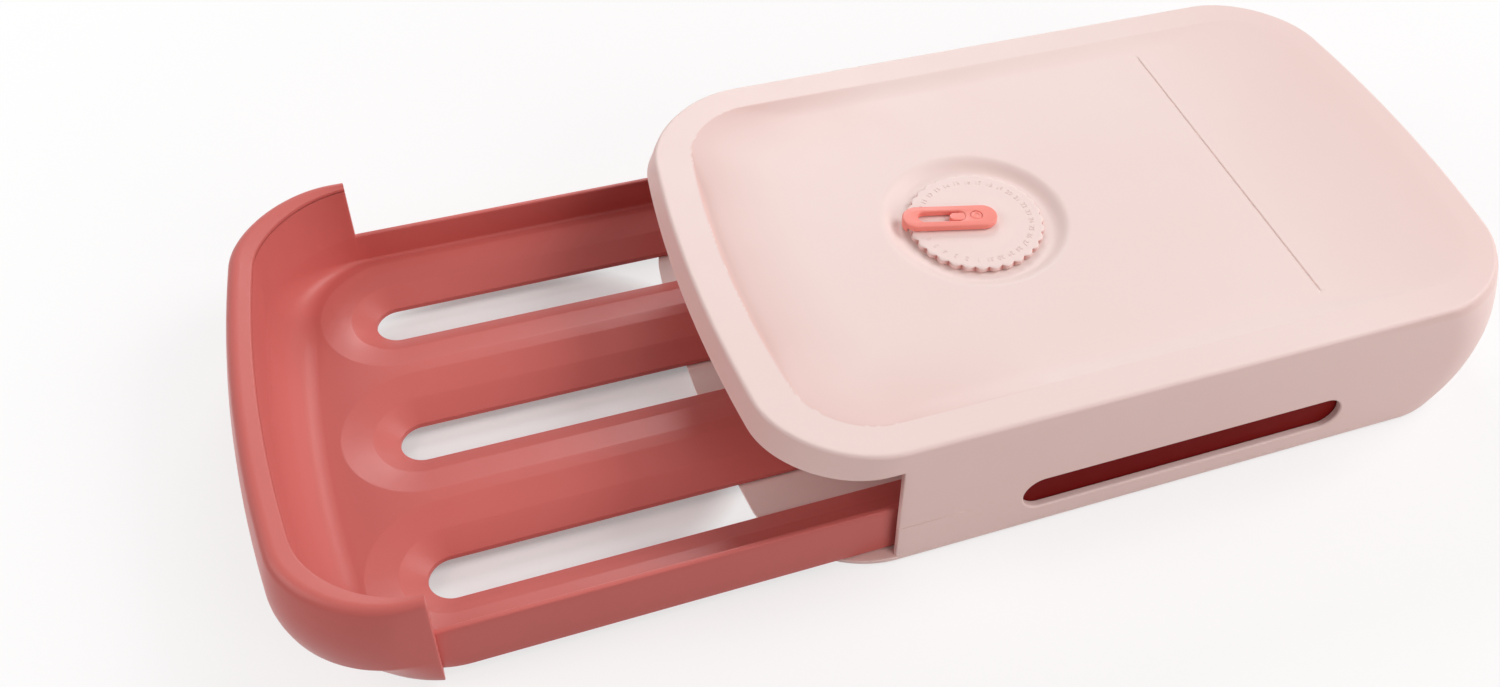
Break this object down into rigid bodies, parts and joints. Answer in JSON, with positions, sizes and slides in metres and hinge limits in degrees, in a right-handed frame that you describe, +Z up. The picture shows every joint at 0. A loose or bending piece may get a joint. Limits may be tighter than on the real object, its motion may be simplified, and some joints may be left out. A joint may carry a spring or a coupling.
{
  "type": "egg storage drawer",
  "caption": "Flat kitchen box with rounded corners, a sliding drawer of long egg troughs, and a sunk lid with a turning date dial and pointer.",
  "frame": {"origin": "middle of the underside of the base plate, under the case's footprint", "axes": "+X to the right seen from the drawer front, the drawer opens towards -Y, +Z up"},
  "size_m": [0.21, 0.4947, 0.0638],
  "materials": {
    "case_plastic": "matte pale pink",
    "drawer_plastic": "matte coral red",
    "pointer_plastic": "satin salmon",
    "clip_plastic": "natural white",
    "silicone": "matte grey"
  },
  "bodies": {
    "case": {"outer_shell": "case_plastic", "base_plate": "case_plastic", "guide_rail_left": "drawer_plastic", "guide_rail_right": "drawer_plastic", "foot_1": "silicone", "foot_2": "silicone", "foot_3": "silicone", "foot_4": "silicone", "pivot_pin": "pointer_plastic", "pivot_clip": "clip_plastic"},
    "drawer": {"drawer_tray": "drawer_plastic", "drawer_front": "drawer_plastic"},
    "dial": {"dial_disc": "case_plastic"},
    "pointer": {"date_pointer": "pointer_plastic"}
  },
  "joints": [
    {"name": "drawer_slide", "type": "slide", "parent": "case", "child": "drawer", "axis": [0, -1, 0], "range_m": [-0.162, 0.012]},
    {"name": "dial_turn", "type": "hinge", "parent": "case", "child": "dial", "pos_m": [0, -0.043, 0.058], "axis": [0, 0, 1], "continuous": true},
    {"name": "pointer_turn", "type": "hinge", "parent": "case", "child": "pointer", "pos_m": [0, -0.043, 0.061], "axis": [0, 0, 1], "continuous": true}
  ]
}
